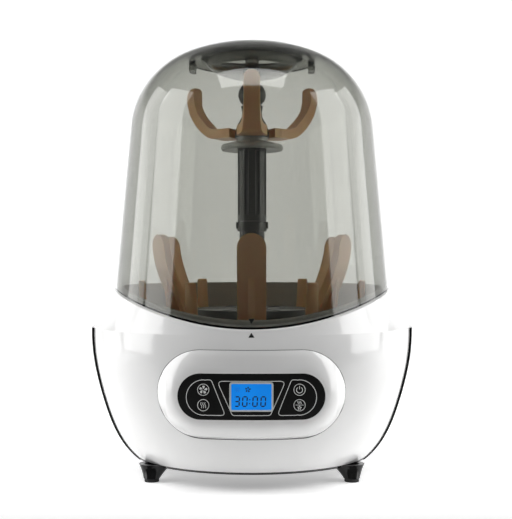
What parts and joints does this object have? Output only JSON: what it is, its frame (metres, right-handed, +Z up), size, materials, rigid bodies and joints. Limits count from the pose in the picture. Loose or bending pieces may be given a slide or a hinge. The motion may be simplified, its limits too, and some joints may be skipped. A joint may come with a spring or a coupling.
{
  "type": "bottle sterilizer",
  "caption": "Electric steam sterilizer and dryer: white and black base with control panel, two-level drying rack, smoked dome lid with a grip recess.",
  "frame": {"origin": "centre of the footprint on the table, under the feet", "axes": "+Z up, -Y towards the user, +X to the user's right"},
  "size_m": [0.2952, 0.2642, 0.394],
  "materials": {
    "white_gloss": "glossy moulded",
    "black_gloss": "glossy",
    "black_plastic": "satin",
    "pad_rubber": "matte",
    "basin_grey": "satin",
    "steel": "brushed",
    "screw_steel": "polished",
    "seal_silicone": "satin",
    "screen_blue": "backlit",
    "board_green": "satin",
    "smoke_dome": "clear smoked",
    "smoke_dark": "dark smoked",
    "amber": "satin moulded",
    "rack_grey": "satin",
    "hub_grey": "satin",
    "filter_paper": "pleated",
    "aluminium": "satin"
  },
  "bodies": {
    "base": {"upper_housing": "white_gloss", "lower_housing": "black_gloss", "foot_pads": "pad_rubber", "bottom_cover": "black_plastic", "bottom_cover_screws": "screw_steel", "housing_screws": "screw_steel", "chamber_basin": "basin_grey", "plate_gasket": "seal_silicone", "heating_plate": "steel", "plate_screws": "screw_steel", "heating_element": "steel", "thermostat": "aluminium", "thermal_fuse": "aluminium", "control_bezel": "white_gloss", "panel_lens": "black_gloss", "display_frame": "aluminium", "display_module": "screen_blue", "control_board": "board_green", "key_switches": "black_plastic", "board_screws": "screw_steel", "blower_scroll": "black_plastic", "blower_cover": "black_plastic", "blower_motor": "aluminium", "air_duct": "black_plastic", "air_heater": "aluminium", "outlet_grille": "hub_grey", "power_board": "board_green", "power_inlet": "black_plastic", "filter_housing": "black_plastic"},
    "lower_rack": {"rack_base": "rack_grey", "drain_plate": "basin_grey", "divider_pegs": "amber", "lower_post": "rack_grey", "finger_1": "amber", "finger_2": "amber", "finger_3": "amber", "finger_4": "amber", "finger_5": "amber", "finger_6": "amber"},
    "upper_rack": {"upper_post": "rack_grey", "upper_hub": "hub_grey", "lifting_knob": "rack_grey", "arm_1": "amber", "arm_2": "amber", "arm_3": "amber"},
    "lid": {"lid_dome": "smoke_dome", "grip_dish": "smoke_dark", "handle_bar": "smoke_dark", "handle_pillar": "smoke_dark", "handle_screw": "screw_steel"},
    "impeller": {"impeller": "black_plastic"},
    "filter_drawer": {"filter_door": "black_gloss", "filter_cartridge": "filter_paper"},
    "key_fan": {"key_fan": "black_gloss"},
    "key_steam": {"key_steam": "black_gloss"},
    "key_power": {"key_power": "black_gloss"},
    "key_combo": {"key_combo": "black_gloss"}
  },
  "joints": [
    {"name": "lower_rack_lift", "type": "slide", "parent": "base", "child": "lower_rack", "axis": [0, 0, 1], "range_m": [0, 0.2]},
    {"name": "upper_rack_lift", "type": "slide", "parent": "lower_rack", "child": "upper_rack", "axis": [0, 0, 1], "range_m": [0, 0.17]},
    {"name": "lid_lift", "type": "slide", "parent": "upper_rack", "child": "lid", "axis": [0, 0, 1], "range_m": [0, 0.25]},
    {"name": "impeller_spin", "type": "hinge", "parent": "base", "child": "impeller", "pos_m": [0, 0.062, 0.05], "axis": [0, 0, 1], "continuous": true},
    {"name": "filter_slide", "type": "slide", "parent": "base", "child": "filter_drawer", "axis": [0, 1, 0], "range_m": [0, 0.045]},
    {"name": "key_fan_press", "type": "slide", "parent": "base", "child": "key_fan", "axis": [0, 1, 0], "range_m": [0, 0.0008], "stiffness_N_per_m": 900},
    {"name": "key_steam_press", "type": "slide", "parent": "base", "child": "key_steam", "axis": [0, 1, 0], "range_m": [0, 0.0008], "stiffness_N_per_m": 900},
    {"name": "key_power_press", "type": "slide", "parent": "base", "child": "key_power", "axis": [0, 1, 0], "range_m": [0, 0.0008], "stiffness_N_per_m": 900},
    {"name": "key_combo_press", "type": "slide", "parent": "base", "child": "key_combo", "axis": [0, 1, 0], "range_m": [0, 0.0008], "stiffness_N_per_m": 900}
  ]
}
